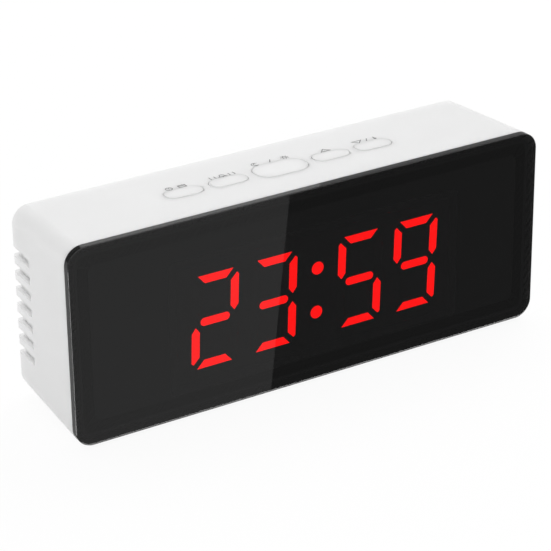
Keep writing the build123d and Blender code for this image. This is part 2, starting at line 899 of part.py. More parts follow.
with BuildPart() as key_board_screws:
    for x, y in key_bosses:
        seat = top_plane.from_local_coords((x, y, -key_board_low))
        with Locations(Plane(origin=seat, x_dir=(1, 0, 0), z_dir=-top_plane.z_dir)):
            add(small_screw)
key_board_screws.part.label = "key_board_screws"
export_step(key_board_screws.part, "parts/key_board_screws.step")

# Five keys, each with its plunger and its switch
for name, (place, _) in keys.items():
    with BuildPart() as button:
        extrude(key_outline(below_top(flange_top), name, 0), amount=flange_top + key_proud)
        fillet(button.faces().sort_by(square_to_top)[-1].edges(), key_edge)
        extrude(key_outline(below_top(flange_low), name, flange_reach), amount=flange_thickness)
        with BuildSketch(below_top(plunger_top)):
            with Locations((place, key_row_y)):
                Circle(stub_radius)
        extrude(amount=stub_length)
    button.part.label = name + "_button"
    export_step(button.part, "parts/" + name + "_button.step")

    with BuildPart() as plunger:
        with BuildSketch(below_top(plunger_top)):
            with Locations((place, key_row_y)):
                Circle(plunger_radius)
        extrude(amount=-(switch_top - plunger_top + plunger_sunk))
    plunger.part.label = name + "_plunger"
    export_step(plunger.part, "parts/" + name + "_plunger.step")

    with BuildPart() as switch:
        with BuildSketch(below_top(key_board_top)):
            with Locations((place, key_row_y)):
                Rectangle(switch_size, switch_size)
        extrude(amount=switch_height)
        chamfer(switch.edges().filter_by(square_to_top), switch_chamfer)
        with BuildSketch(below_top(switch_top)):
            with Locations((place, key_row_y)):
                Circle(plunger_radius + plunger_gap)
        extrude(amount=-(plunger_sunk + key_travel + plunger_floor), mode=Mode.SUBTRACT)
    switch.part.label = name + "_switch"
    export_step(switch.part, "parts/" + name + "_switch.step")

# Battery door: hinged on two pins at its foot, with a full round there
with BuildPart() as battery_door:
    with BuildSketch(Plane.YZ.offset(-door_length / 2)):
        with Locations((hinge_y, (hinge_z + door_top) / 2)):
            Rectangle(door_thickness, door_top - hinge_z)
        with Locations((hinge_y, hinge_z)):
            Circle(door_thickness / 2)
    extrude(amount=door_length)
    fillet(battery_door.edges().filter_by(Axis.Y).group_by(Axis.Z)[-1], door_corner)
    with BuildSketch(Plane.YZ.offset(-(door_length / 2 + hinge_pin_length))):
        with Locations((hinge_y, hinge_z)):
            Circle(hinge_pin_radius)
    extrude(amount=door_length + 2 * hinge_pin_length)
    grip_mid = door_top - grip_below_edge - grip_spacing * (grip_ridges - 1) / 2
    with BuildSketch(at_depth(rear_y - grip_depth)):
        with Locations((0, grip_mid)):
            with GridLocations(0, grip_spacing, 1, grip_ridges):
                SlotOverall(grip_length, grip_width)
    extrude(amount=-(grip_depth + overrun), mode=Mode.SUBTRACT)
battery_door.part.label = "battery_door"
export_step(battery_door.part, "parts/battery_door.step")

# Three cells in series; a cell's nub points to the side given here
plate_face = bay_length / 2 - plate_thickness
cell_rows = {"cell_top": (-1, 1), "cell_middle": (1, 0), "cell_bottom": (-1, -1)}
for name, (nub_side, row) in cell_rows.items():
    can_end = nub_side * (plate_face - cell_nub_length)
    with BuildPart() as cell:
        with BuildSketch(Plane.YZ.offset(can_end)):
            with Locations((cell_y, bay_z + row * cell_spacing)):
                Circle(cell_radius)
        extrude(amount=-nub_side * cell_length)
        chamfer(cell.edges(), cell_edge)
        with BuildSketch(Plane.YZ.offset(can_end)):
            with Locations((cell_y, bay_z + row * cell_spacing)):
                Circle(cell_nub_radius)
        extrude(amount=nub_side * cell_nub_length)
    cell.part.label = name
    export_step(cell.part, "parts/" + name + ".step")

# Contact plates: two single ones with tabs, and two that join neighbouring cells
with BuildPart() as contact_plates:
    for side, single_row in ((-1, 1), (1, -1)):
        pair_mid = bay_z - single_row * cell_spacing / 2
        with BuildSketch(Plane.YZ.offset(side * plate_face)):
            with Locations((cell_y, bay_z + single_row * cell_spacing)):
                Rectangle(plate_size, plate_size)
            with Locations((cell_y, pair_mid)):
                Rectangle(plate_size, plate_size + cell_spacing)
        extrude(amount=side * plate_thickness)
        tab_start = side * plate_face
        with BuildSketch(Plane.YZ.offset(tab_start)):
            with Locations(((tab_y + cell_y) / 2, bay_z + single_row * cell_spacing)):
                Rectangle(cell_y - tab_y + plate_thickness, tab_width)
        extrude(amount=side * plate_thickness)
        with BuildSketch(Plane.YZ.offset(tab_start)):
            with Locations((tab_y, bay_z + single_row * cell_spacing)):
                Rectangle(plate_thickness, tab_width)
        extrude(amount=side * tab_reach)
contact_plates.part.label = "contact_plates"
export_step(contact_plates.part, "parts/contact_plates.step")


def coil_point(start, travel, row, turn):
    """A point of a spring's centre line, turn turns along it."""
    angle = 2 * math.pi * turn
    return (
        start + travel * turn / spring_turns,
        cell_y + spring_radius * math.cos(angle),
        bay_z + row * cell_spacing + spring_radius * math.sin(angle),
    )


# Coil springs behind the flat ends of the cells
with BuildPart() as battery_springs:
    for nub_side, row in cell_rows.values():
        seat_x = -nub_side * (plate_face - spring_wire - thread_gap)
        travel = nub_side * (spring_room - 2 * (spring_wire + thread_gap))
        with BuildLine() as coil:
            for quarter in range(4 * spring_turns):
                ends = [coil_point(seat_x, travel, row, (quarter + part) / 4) for part in (0, 1 / 2, 1)]
                ThreePointArc(*ends)
        with BuildSketch(Plane(origin=coil.line @ 0, z_dir=coil.line % 0)):
            Circle(spring_wire)
        sweep(path=coil.line)
battery_springs.part.label = "battery_springs"
export_step(battery_springs.part, "parts/battery_springs.step")
coil_gap = spring_room / spring_turns - 2 * spring_wire
print("least gap between spring turns", round(coil_gap, 2))

# Stiff leads from the battery tabs to the main board
lead_x = plate_face + tab_reach - lead_radius
with BuildPart() as battery_leads:
    for side, place in lead_ends:
        with BuildSketch(at_depth(main_board_back)):
            with Locations((side * lead_x, place)):
                Circle(lead_radius)
        extrude(amount=-(tab_y - plate_thickness / 2 - main_board_back))
battery_leads.part.label = "battery_leads"
export_step(battery_leads.part, "parts/battery_leads.step")

# Power socket, its board, screws and leads
with BuildPart() as socket_board:
    with BuildSketch(Plane.XY.offset(socket_board_z)):
        with Locations((socket_x, socket_board_back - socket_board_depth / 2)):
            Rectangle(socket_board_length, socket_board_depth)
        with Locations(*socket_posts):
            Circle(small_screw_radius + fit_gap, mode=Mode.SUBTRACT)
    extrude(amount=socket_board_thickness)
socket_board.part.label = "socket_board"
export_step(socket_board.part, "parts/socket_board.step")

with BuildPart() as power_socket:
    with BuildSketch(at_depth(rear_y - socket_sunk)):
        with Locations((socket_x, socket_z)):
            RectangleRounded(socket_width, socket_height, socket_radius)
    extrude(amount=socket_length)
    with BuildSketch(at_depth(rear_y - socket_sunk)):
        with Locations((socket_x, socket_z)):
            RectangleRounded(
                socket_width - 2 * socket_shell,
                socket_height - 2 * socket_shell,
                socket_radius - socket_shell,
            )
    extrude(amount=socket_length - 2 * socket_shell, mode=Mode.SUBTRACT)
    with BuildSketch(at_depth(rear_y - socket_sunk - socket_length + socket_shell)):
        with Locations((socket_x, socket_z)):
            Rectangle(tongue_width, tongue_height)
    extrude(amount=-(tongue_length + socket_shell))
power_socket.part.label = "power_socket"
export_step(power_socket.part, "parts/power_socket.step")

with BuildPart() as socket_screws:
    for x, y in socket_posts:
        with Locations((x, y, socket_low)):
            add(small_screw)
socket_screws.part.label = "socket_screws"
export_step(socket_screws.part, "parts/socket_screws.step")

board_front_edge = socket_board_back - socket_board_depth
with BuildPart() as power_leads:
    with BuildSketch(at_depth(main_board_back)):
        with Locations((socket_x, socket_low + lead_radius)):
            with GridLocations(2 * lead_half_spacing, 0, 2, 1):
                Circle(lead_radius)
    extrude(amount=main_board_back - board_front_edge - lead_half_spacing)
power_leads.part.label = "power_leads"
export_step(power_leads.part, "parts/power_leads.step")
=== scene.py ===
import math

import bmesh
import bpy
from mathutils import Matrix, Vector
from mathutils.bvhtree import BVHTree


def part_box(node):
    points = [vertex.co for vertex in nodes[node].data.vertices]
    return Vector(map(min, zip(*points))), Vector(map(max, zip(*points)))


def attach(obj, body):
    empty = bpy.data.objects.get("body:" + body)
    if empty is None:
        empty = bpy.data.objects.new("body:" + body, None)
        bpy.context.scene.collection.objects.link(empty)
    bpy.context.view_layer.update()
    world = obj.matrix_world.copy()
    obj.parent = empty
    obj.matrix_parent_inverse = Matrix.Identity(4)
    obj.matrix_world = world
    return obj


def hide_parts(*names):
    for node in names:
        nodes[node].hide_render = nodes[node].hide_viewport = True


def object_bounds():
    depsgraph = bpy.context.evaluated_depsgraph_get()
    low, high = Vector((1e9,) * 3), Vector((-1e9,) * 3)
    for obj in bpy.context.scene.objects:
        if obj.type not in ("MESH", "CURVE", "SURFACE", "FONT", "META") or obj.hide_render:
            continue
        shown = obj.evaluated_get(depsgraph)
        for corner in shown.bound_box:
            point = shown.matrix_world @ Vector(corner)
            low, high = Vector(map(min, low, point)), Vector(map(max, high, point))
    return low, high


# The looks of a desk clock with a red digital display, in metres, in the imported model's own frame.
# x runs to the viewer's right, y from the display to the back, z up from the table.

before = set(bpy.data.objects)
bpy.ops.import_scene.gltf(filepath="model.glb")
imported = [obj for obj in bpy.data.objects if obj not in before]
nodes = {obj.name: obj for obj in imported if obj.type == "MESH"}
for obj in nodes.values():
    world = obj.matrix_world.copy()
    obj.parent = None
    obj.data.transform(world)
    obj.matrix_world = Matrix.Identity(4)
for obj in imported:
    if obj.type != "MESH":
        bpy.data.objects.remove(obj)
cad_low, cad_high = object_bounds()
scene = bpy.context.scene
scene.view_settings.view_transform = "Standard"
mm = 0.001

# Camera, fitted to the photograph
picture_width = 551
focal_pixels = 2409.2
centre_column = 270.17
centre_row = 259.51
camera_place = Vector((-0.30008, -0.49637, 0.30557))
camera_azimuth = math.radians(30.900)
camera_elevation = math.radians(25.484)
camera_roll = math.radians(-0.758)
sensor_width = 36.0
nearest_sight = 0.01

# Surround and floor
open_sky = 0.61
floor_reach = 6.0
floor_height = -0.05 * mm
floor_tones = (0.95, 0.96)
floor_patch = 0.4
floor_own_light = 0.92

# Lamps: name, place, side and watts of soft square lights that face the clock
lamps = (
    ("key", (0.75, 0.35, 1.0), 0.9, 7.0),
    ("top", (-0.3, 0.2, 1.15), 0.9, 1.7),
    ("fill", (-0.7, -0.9, 0.35), 0.8, 4.7),
)
lamp_target = Vector((0, 0, 0.03))

# Grey cards on the table, which only mirror rays see
card_lift = 0.4 * mm
card_reach = 0.9
left_card_level = 0.545
right_card_level = 0.187
side_card_level = 0.6

# Bright cards that only the lens sees, and the heights on its left edge that mirror the first one
bright_card_lift = 2 * card_lift
strip_level = 4.4
strip_half_width = 9 * mm
strip_heights = (2 * mm, 54 * mm)
foot_card_level = 2.6
foot_card_depth = 0.9 * mm

# Cards that stand behind the clock
backdrop_far = 0.9
backdrop_height = 1.2
dark_backdrop_level = 0.2
dark_backdrop_reach = 0.18
dim_backdrop_level = 0.5
dim_backdrop_start = 0.58

# The line on the lens at which the reflection changes, as columns and rows of the picture
line_top = (290.0, 193.0)
line_foot = (272.0, 382.0)

# Lens
lens_bevel = 0.21 * mm
lens_foot_bevel = 0.62 * mm
lens_corner = 5 * mm
corner_steps = 32
lens_edge_round = 0.05 * mm
lens_edge_angle = math.radians(15)
lens_edge_segments = 2
window_margin = 2.5 * mm
window_corner = 2 * mm

# Smoked acrylic
smoke_tint = (0.2, 0.2, 0.205, 1)
smoke_polish = (0.004, 0.02)
smoke_haze = 9 * mm
smoke_index = 1.49
smoke_density = 330.0

# Lit segments
lit_red = (1.0, 0.0, 0.0, 1)
lit_body = (0.5, 0.0, 0.0, 1)
lit_rough = 0.5
lit_levels = (11.0, 13.0)
lit_patch = 3 * mm

# Moulded plastic: faint patches, a fine grain, and outer edges and creases that are smoother and whose colour
# is scaled by an edge tone
plastic_patch = 18 * mm
plastic_patch_tone = 0.985
plastic_rough_swing = 0.05
plastic_edge = 0.3 * mm
plastic_edge_tone = 0.97
plastic_edge_polish = -0.12
plastic_light_reach = 4 * mm

# How alike a surface's own normal and its softened one are where the edge share is full
full_edge_match = 0.9

# Metal: fine marks and duller patches
metal_grain = 0.25 * mm
metal_patch = 4 * mm
metal_patch_tone = 0.8
metal_smoother = 0.08
metal_rougher = 0.1
metal_mark_depth = 0.006 * mm

# Circuit boards: solder mask over copper tracks
mask_green = (0.006, 0.075, 0.03, 1)
mask_over_track = (0.012, 0.15, 0.055, 1)
mask_rough = (0.25, 0.38)
mask_grain = 0.5 * mm
tracks_per_metre = 420.0
track_side = (0.06, 0.1)
track_height = 0.03 * mm

# Printed ink
ink_grain = 0.12 * mm
ink_tones = (0.2, 0.28)
ink_rough = (0.5, 0.7)


def look_axes():
    """The camera's right, up and forward directions."""
    forward = Vector((
        math.sin(camera_azimuth) * math.cos(camera_elevation),
        math.cos(camera_azimuth) * math.cos(camera_elevation),
        -math.sin(camera_elevation),
    ))
    level = forward.cross(Vector((0, 0, 1))).normalized()
    right = Matrix.Rotation(-camera_roll, 3, forward) @ level
    return right, right.cross(forward), forward


def make_camera():
    """The camera at the photograph's viewing angle."""
    right, up, forward = look_axes()
    data = bpy.data.cameras.new("camera")
    data.sensor_width = sensor_width
    data.lens = focal_pixels * sensor_width / picture_width
    data.shift_x = 0.5 - centre_column / picture_width
    data.shift_y = centre_row / picture_width - 0.5
    data.clip_start = nearest_sight
    camera = bpy.data.objects.new("camera", data)
    turn = Matrix((right, up, -forward)).transposed().to_4x4()
    camera.matrix_world = Matrix.Translation(camera_place) @ turn
    scene.collection.objects.link(camera)
    scene.camera = camera


def sight_line(column, row):
    """The direction in which the camera sees a point of the picture."""
    right, up, forward = look_axes()
    across = (column - centre_column) / focal_pixels
    down = (row - centre_row) / focal_pixels
    return forward + across * right - down * up


def set_or_link(tree, socket, value):
    """Links a value that is another node's output, and sets any other."""
    if isinstance(value, bpy.types.NodeSocket):
        tree.links.new(value, socket)
    else:
        socket.default_value = value


def add(tree, kind, inputs=None, **settings):
    """A node of this kind; an input is a value to set or an output to link."""
    node = tree.nodes.new(kind)
    for name, value in settings.items():
        setattr(node, name, value)
    for name, value in (inputs or {}).items():
        set_or_link(tree, node.inputs[name], value)
    return node


def new_material(name):
    """An empty material, its node tree and its output node."""
    material = bpy.data.materials.new(name)
    material.use_nodes = True
    tree = material.node_tree
    tree.nodes.clear()
    return material, tree, tree.nodes.new("ShaderNodeOutputMaterial")


def grey(level):
    """A grey colour."""
    return (level, level, level, 1.0)


def shade(tone, share):
    """This colour at a share of its level."""
    return [part * share for part in tone[:3]] + [1]


def noise(tree, size, detail=2.0, stretch=(1, 1, 1)):
    """Noise whose features are about this size, in metres, fixed to the piece."""
    place = add(tree, "ShaderNodeTexCoord").outputs["Object"]
    mapped = add(tree, "ShaderNodeMapping", {"Vector": place, "Scale": stretch})
    made = add(tree, "ShaderNodeTexNoise", {
        "Vector": mapped.outputs["Vector"],
        "Scale": 1 / size,
        "Detail": detail,
        "Roughness": 0.55,
    })
    return made.outputs["Fac"]


def spread(tree, source, low, high, start=0.3, end=0.7):
    """Maps source from start..end to low..high; noise keeps mostly within 0.3..0.7."""
    made = add(tree, "ShaderNodeMapRange", {
        "Value": source,
        "From Min": start,
        "From Max": end,
        "To Min": low,
        "To Max": high,
    })
    return made.outputs["Result"]


def blend_colours(tree, factor, first, second):
    """A mix of two colours. A Mix node's sockets share their names, so they go by their places."""
    made = add(tree, "ShaderNodeMix", data_type="RGBA")
    for index, value in ((0, factor), (6, first), (7, second)):
        set_or_link(tree, made.inputs[index], value)
    return made.outputs[2]


def edge_share_and_normal(tree, radius):
    """0 on open faces and up to 1 along outer and inner edges, and the normal of the softened edges."""
    rounded = add(tree, "ShaderNodeBevel", {"Radius": radius}, samples=4)
    flat = add(tree, "ShaderNodeNewGeometry")
    match = add(tree, "ShaderNodeVectorMath", {0: rounded.outputs["Normal"], 1: flat.outputs["Normal"]},
                operation="DOT_PRODUCT")
    return spread(tree, match.outputs["Value"], 1.0, 0.0, full_edge_match, 1.0), rounded.outputs["Normal"]


def shine(tree, output, **inputs):
    """A Principled shader on the output."""
    named = {name.replace("_", " "): value for name, value in inputs.items()}
    shader = add(tree, "ShaderNodeBsdfPrincipled", named)
    tree.links.new(shader.outputs["BSDF"], output.inputs["Surface"])


def bumps(tree, height, distance, normal=None):
    """The normal of a surface with these bumps, on a given normal or the piece's own."""
    made = add(tree, "ShaderNodeBump", {"Height": height, "Distance": distance})
    if normal:
        tree.links.new(normal, made.inputs["Normal"])
    return made.outputs["Normal"]


def moulded(name, tone, rough, grain, depth, edge_tone=plastic_edge_tone, through=0.0):
    """Moulded plastic with a grain of this size and depth; through is the share of light that enters it."""
    material, tree, output = new_material(name)
    cloud = noise(tree, plastic_patch, detail=3.0)
    fine = noise(tree, grain, detail=3.0)
    edge_share, softened = edge_share_and_normal(tree, plastic_edge)
    body = blend_colours(tree, spread(tree, cloud, 0.0, 1.0), tone, shade(tone, plastic_patch_tone))
    # Along outer edges and in creases the colour is scaled by the edge tone: a little darker on the white
    # plastics, lighter on the black ones
    colour = blend_colours(tree, edge_share, body, shade(tone, edge_tone))
    base_rough = spread(tree, fine, rough - plastic_rough_swing, rough + plastic_rough_swing)
    polish = add(tree, "ShaderNodeMath", {0: edge_share, 1: plastic_edge_polish, 2: base_rough},
                 operation="MULTIPLY_ADD")
    shine(tree, output, Base_Color=colour, Roughness=polish.outputs[0],
          Subsurface_Weight=through, Subsurface_Radius=(1, 1, 1), Subsurface_Scale=plastic_light_reach,
          Normal=bumps(tree, fine, depth, softened))
    return material


def smoked_acrylic():
    """A dark clear plate: tinted at its faces and darker still along a long way through it."""
    material, tree, output = new_material("smoked_lens")
    haze = noise(tree, smoke_haze, detail=4.0)
    shine(tree, output, Base_Color=smoke_tint, Roughness=spread(tree, haze, *smoke_polish),
          IOR=smoke_index, Transmission_Weight=1.0)
    body = add(tree, "ShaderNodeVolumeAbsorption", {"Color": (0, 0, 0, 1), "Density": smoke_density})
    tree.links.new(body.outputs["Volume"], output.inputs["Volume"])
    return material


def glowing_epoxy():
    """A lit segment: red light, stronger in some patches than in others."""
    material, tree, output = new_material("lit_epoxy")
    level = spread(tree, noise(tree, lit_patch), *lit_levels)
    shine(tree, output, Base_Color=lit_body, Roughness=lit_rough,
          Emission_Color=lit_red, Emission_Strength=level)
    return material


def metal(name, tone, rough, stretch=(1, 1, 1)):
    """Bare or plated metal."""
    material, tree, output = new_material(name)
    marks = noise(tree, metal_grain, detail=4.0, stretch=stretch)
    cloud = noise(tree, metal_patch, detail=3.0)
    colour = blend_colours(tree, spread(tree, cloud, 0.0, 1.0), tone, shade(tone, metal_patch_tone))
    shine(tree, output, Base_Color=colour, Metallic=1.0,
          Roughness=spread(tree, marks, rough - metal_smoother, rough + metal_rougher),
          Normal=bumps(tree, marks, metal_mark_depth))
    return material


def circuit_board():
    """Green solder mask over copper tracks."""
    material, tree, output = new_material("circuit_board")
    place = add(tree, "ShaderNodeTexCoord").outputs["Object"]
    tracks = add(tree, "ShaderNodeTexVoronoi", {"Vector": place, "Scale": tracks_per_metre},
                 feature="DISTANCE_TO_EDGE", distance="CHEBYCHEV")
    over_track = spread(tree, tracks.outputs["Distance"], 1.0, 0.0, *track_side)
    mask = blend_colours(tree, over_track, mask_green, mask_over_track)
    shine(tree, output, Base_Color=mask, Roughness=spread(tree, noise(tree, mask_grain), *mask_rough),
          Normal=bumps(tree, over_track, track_height))
    return material


def printed_ink():
    """Grey ink."""
    material, tree, output = new_material("printed_ink")
    fine = noise(tree, ink_grain)
    dark, pale = [grey(level) for level in ink_tones]
    tone = blend_colours(tree, spread(tree, fine, 0.0, 1.0), dark, pale)
    shine(tree, output, Base_Color=tone, Roughness=spread(tree, fine, *ink_rough))
    return material


plastics = {
    "tape": dict(tone=grey(0.012), rough=0.85, grain=0.4 * mm, depth=0.05 * mm),
    "black_frame": dict(tone=grey(0.014), rough=0.5, grain=0.3 * mm, depth=0.01 * mm, edge_tone=1.6),
    "white_case": dict(tone=grey(0.83), rough=0.46, grain=0.35 * mm, depth=0.006 * mm, through=0.8),
    "white_key": dict(tone=grey(0.83), rough=0.42, grain=0.3 * mm, depth=0.004 * mm, through=0.8),
    "foot_rubber": dict(tone=grey(0.05), rough=0.8, grain=0.5 * mm, depth=0.03 * mm, edge_tone=1.3),
    "reflector": dict(tone=grey(0.01), rough=0.6, grain=0.3 * mm, depth=0.01 * mm),
    "unlit_epoxy": dict(tone=(0.02, 0.012, 0.012, 1), rough=0.4, grain=0.3 * mm, depth=0.004 * mm),
    "black_moulding": dict(tone=grey(0.02), rough=0.55, grain=0.25 * mm, depth=0.01 * mm, edge_tone=1.5),
    "ceramic_chip": dict(tone=grey(0.03), rough=0.35, grain=0.2 * mm, depth=0.004 * mm, edge_tone=1.4),
    "plunger": dict(tone=grey(0.03), rough=0.5, grain=0.2 * mm, depth=0.004 * mm),
    "cell_jacket": dict(tone=(0.03, 0.09, 0.06, 1), rough=0.3, grain=0.4 * mm, depth=0.004 * mm),
    "cell_band": dict(tone=grey(0.55), rough=0.25, grain=0.4 * mm, depth=0.004 * mm),
    "cell_mark": dict(tone=grey(0.04), rough=0.35, grain=0.4 * mm, depth=0.004 * mm),
    "lead_sleeve": dict(tone=(0.35, 0.02, 0.02, 1), rough=0.5, grain=0.4 * mm, depth=0.01 * mm),
    "mask_print": dict(tone=grey(0.05), rough=0.6, grain=0.3 * mm, depth=0.002 * mm),
}
metals = {
    "plated_steel": dict(tone=(0.62, 0.61, 0.58, 1), rough=0.3),
    "die": dict(tone=(0.6, 0.45, 0.2, 1), rough=0.35),
    "pin_metal": dict(tone=(0.75, 0.72, 0.66, 1), rough=0.28),
    "can_metal": dict(tone=(0.7, 0.7, 0.7, 1), rough=0.32, stretch=(1, 1, 8)),
    "switch_body": dict(tone=(0.66, 0.65, 0.62, 1), rough=0.35),
    "contact_steel": dict(tone=(0.68, 0.67, 0.64, 1), rough=0.25, stretch=(1, 8, 1)),
}
materials = {
    "smoked_lens": smoked_acrylic(),
    "lit_epoxy": glowing_epoxy(),
    "circuit_board": circuit_board(),
    "printed_ink": printed_ink(),
}
materials.update((name, moulded(name, **finish)) for name, finish in plastics.items())
materials.update((name, metal(name, **finish)) for name, finish in metals.items())


def bridge(bm, first, second):
    """Faces between two rings of vertices."""
    count = len(first)
    return [
        bm.faces.new((first[i], first[(i + 1) % count], second[(i + 1) % count], second[i]))
        for i in range(count)
    ]


def piece_from(bm, name):
    """A piece with the faces that bm holds."""
    bmesh.ops.recalc_face_normals(bm, faces=bm.faces)
    mesh = bpy.data.meshes.new(name)
    bm.to_mesh(mesh)
    bm.free()
    piece = bpy.data.objects.new(name, mesh)
    scene.collection.objects.link(piece)
    return piece


def rounded_outline(low, high, upper, lower):
    """Points round a rectangle with rounded corners, in the x z plane: the same number for every size."""
    points = []
    centres = (
        (high.x - upper, high.z - upper, upper, 0),
        (low.x + upper, high.z - upper, upper, 90),
        (low.x + lower, low.z + lower, lower, 180),
        (high.x - lower, low.z + lower, lower, 270),
    )
    for x, z, corner, start in centres:
        for step in range(corner_steps + 1):
            angle = math.radians(start + 90 * step / corner_steps)
            points.append((x + corner * math.cos(angle), z + corner * math.sin(angle)))
    return points


def make_lens():
    """The front plate: a polished bevel round its face, and a black print on its back round the window."""
    low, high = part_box("front_lens")
    bm = bmesh.new()

    def ring(y, inset, foot_inset):
        outline = rounded_outline(
            low + Vector((inset, 0, foot_inset)),
            high - Vector((inset, 0, inset)),
            lens_corner - inset,
            lens_corner - (inset + foot_inset) / 2,
        )
        return [bm.verts.new((x, y, z)) for x, z in outline]

    back = ring(high.y, 0, 0)
    edge = ring(low.y + lens_bevel, 0, 0)
    face = ring(low.y, lens_bevel, lens_foot_bevel)
    display_low, display_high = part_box("display_reflector")
    margin = Vector((window_margin, 0, window_margin))
    outline = rounded_outline(display_low - margin, display_high + margin, window_corner, window_corner)
    window = [bm.verts.new((x, high.y, z)) for x, z in outline]
    bridge(bm, back, edge)
    bridge(bm, edge, face)
    bm.faces.new(face)
    bm.faces.new(window[::-1])
    for printed in bridge(bm, window, back):
        printed.material_index = 1
    for part in bm.faces:
        part.smooth = True
    lens = piece_from(bm, "lens_plate")
    lens.data.materials.append(materials["smoked_lens"])
    lens.data.materials.append(materials["mask_print"])
    polish_edges(lens)
    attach(lens, "case")
    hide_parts("front_lens")
    return lens


def polish_edges(piece):
    """Rounds a piece's sharp edges a little."""
    bevel = piece.modifiers.new("bevel", "BEVEL")
    bevel.width = lens_edge_round
    bevel.segments = lens_edge_segments
    bevel.limit_method = "ANGLE"
    bevel.angle_limit = lens_edge_angle
    bevel.harden_normals = True
    bevel.miter_outer = "MITER_ARC"


def dress_cad_nodes():
    """Gives every CAD node the finish of its material slot."""
    for node in nodes.values():
        for index, slot in enumerate(node.data.materials):
            node.data.materials[index] = materials[slot.name]


def light_path_is_seen(tree):
    """1 for camera, mirror and clear rays, 0 for those that only carry light."""
    path = add(tree, "ShaderNodeLightPath")
    first = add(tree, "ShaderNodeMath", {0: path.outputs["Is Camera Ray"], 1: path.outputs["Is Glossy Ray"]},
                operation="MAXIMUM")
    both = add(tree, "ShaderNodeMath", {0: first.outputs[0], 1: path.outputs["Is Transmission Ray"]},
               operation="MAXIMUM")
    return both.outputs[0]


def make_world():
    """A white surround that lights the clock from all sides."""
    world = bpy.data.worlds.new("studio")
    scene.world = world
    world.use_nodes = True
    tree = world.node_tree
    tree.nodes.clear()
    level = spread(tree, light_path_is_seen(tree), open_sky, 1.0, 0.0, 1.0)
    sky = add(tree, "ShaderNodeBackground", {"Color": grey(1.0), "Strength": level})
    output = add(tree, "ShaderNodeOutputWorld")
    tree.links.new(sky.outputs["Background"], output.inputs["Surface"])


def flat_sheet(name, corners):
    """A flat sheet with these corners."""
    mesh = bpy.data.meshes.new(name)
    mesh.from_pydata(corners, [], [tuple(range(len(corners)))])
    sheet = bpy.data.objects.new(name, mesh)
    scene.collection.objects.link(sheet)
    return sheet


def make_floor():
    """A pale floor that keeps the clock's shadow."""
    corners = ((-1, -1), (1, -1), (1, 1), (-1, 1))
    floor = flat_sheet("floor", [(x * floor_reach, y * floor_reach, floor_height) for x, y in corners])
    material, tree, output = new_material("floor")
    first, second = [grey(level) for level in floor_tones]
    tone = blend_colours(tree, noise(tree, floor_patch), first, second)
    paper = add(tree, "ShaderNodeBsdfDiffuse", {"Color": tone})
    glow = add(tree, "ShaderNodeEmission", {"Color": grey(1.0), "Strength": 1.0})
    share = add(tree, "ShaderNodeMath", {0: light_path_is_seen(tree), 1: floor_own_light},
                operation="MULTIPLY")
    mix = add(tree, "ShaderNodeMixShader", {
        "Fac": share.outputs[0],
        1: paper.outputs["BSDF"],
        2: glow.outputs["Emission"],
    })
    tree.links.new(mix.outputs["Shader"], output.inputs["Surface"])
    floor.data.materials.append(material)


def mirrored_on_floor(place, look, normal):
    """Where the table is seen in a mirror at place, looked at along look."""
    onward = look - 2 * look.dot(normal) * normal
    return place - onward * (place.z / onward.z)


def seen_in_lens(column, row):
    """Where the table is seen in the lens at this point of the picture."""
    look = sight_line(column, row)
    on_lens = camera_place + look * ((cad_low.y - camera_place.y) / look.y)
    return mirrored_on_floor(on_lens, look, Vector((0, -1, 0)))


def make_card(name, corners, level):
    """A sheet of even light that only mirror rays see."""
    card = flat_sheet(name, corners)
    material, tree, output = new_material(name)
    glow = add(tree, "ShaderNodeEmission", {"Color": grey(1.0), "Strength": level})
    tree.links.new(glow.outputs["Emission"], output.inputs["Surface"])
    card.data.materials.append(material)
    card.visible_camera = False
    card.visible_diffuse = False
    card.visible_shadow = False
    card.visible_transmission = False
    return card


def make_bright_cards(lens):
    """Bright cards on the table that draw the light lines along the lens's left and lower bevels."""
    bevel_normal = Vector((-1, -1, 0)).normalized()
    ends = []
    for height in strip_heights:
        place = Vector((cad_low.x, cad_low.y, height))
        ends.append(mirrored_on_floor(place, place - camera_place, bevel_normal))
    start, end = ends
    aside = Vector((0, strip_half_width, 0))
    strip = [(place.x, place.y) for place in (start - aside, end - aside, end + aside, start + aside)]
    left, right, near = cad_low.x, cad_high.x, cad_low.y
    foot = [(left, near), (left, near - foot_card_depth), (right, near - foot_card_depth), (right, near)]
    only_lens = bpy.data.collections.new("sees_strips")
    only_lens.objects.link(lens)
    for name, corners, level in (("strip_card", strip, strip_level), ("foot_card", foot, foot_card_level)):
        card = make_card(name, [(x, y, bright_card_lift) for x, y in corners], level)
        card.light_linking.receiver_collection = only_lens


def make_table_cards():
    """Grey cards on the table; the lens shows the line between the two in front."""
    top = seen_in_lens(*line_top)
    foot = seen_in_lens(*line_foot)
    lean = (top.x - foot.x) / (top.y - foot.y)
    near = cad_low.y
    far = near - card_reach
    near_x = foot.x + lean * (near - foot.y)
    far_x = foot.x + lean * (far - foot.y)
    left = [(-card_reach, near), (-card_reach, far), (far_x, far), (near_x, near)]
    right = [(near_x, near), (far_x, far), (card_reach, far), (card_reach, near)]
    beside = [(-card_reach, near), (cad_low.x, near), (cad_low.x, card_reach), (-card_reach, card_reach)]
    table = (
        ("left_card", left, left_card_level),
        ("right_card", right, right_card_level),
        ("side_card", beside, side_card_level),
    )
    for name, corners, level in table:
        make_card(name, [(x, y, card_lift) for x, y in corners], level)


def make_backdrops():
    """Two cards that stand behind, dark on the left and dim on the right, for the edges of the lens."""
    spans = (
        ("dark_backdrop", -card_reach, dark_backdrop_reach, dark_backdrop_level),
        ("dim_backdrop", dim_backdrop_start, 2 * card_reach, dim_backdrop_level),
    )
    for name, start, end, level in spans:
        foot = [(start, backdrop_far, card_lift), (end, backdrop_far, card_lift)]
        head = [(end, backdrop_far, backdrop_height), (start, backdrop_far, backdrop_height)]
        make_card(name, foot + head, level)


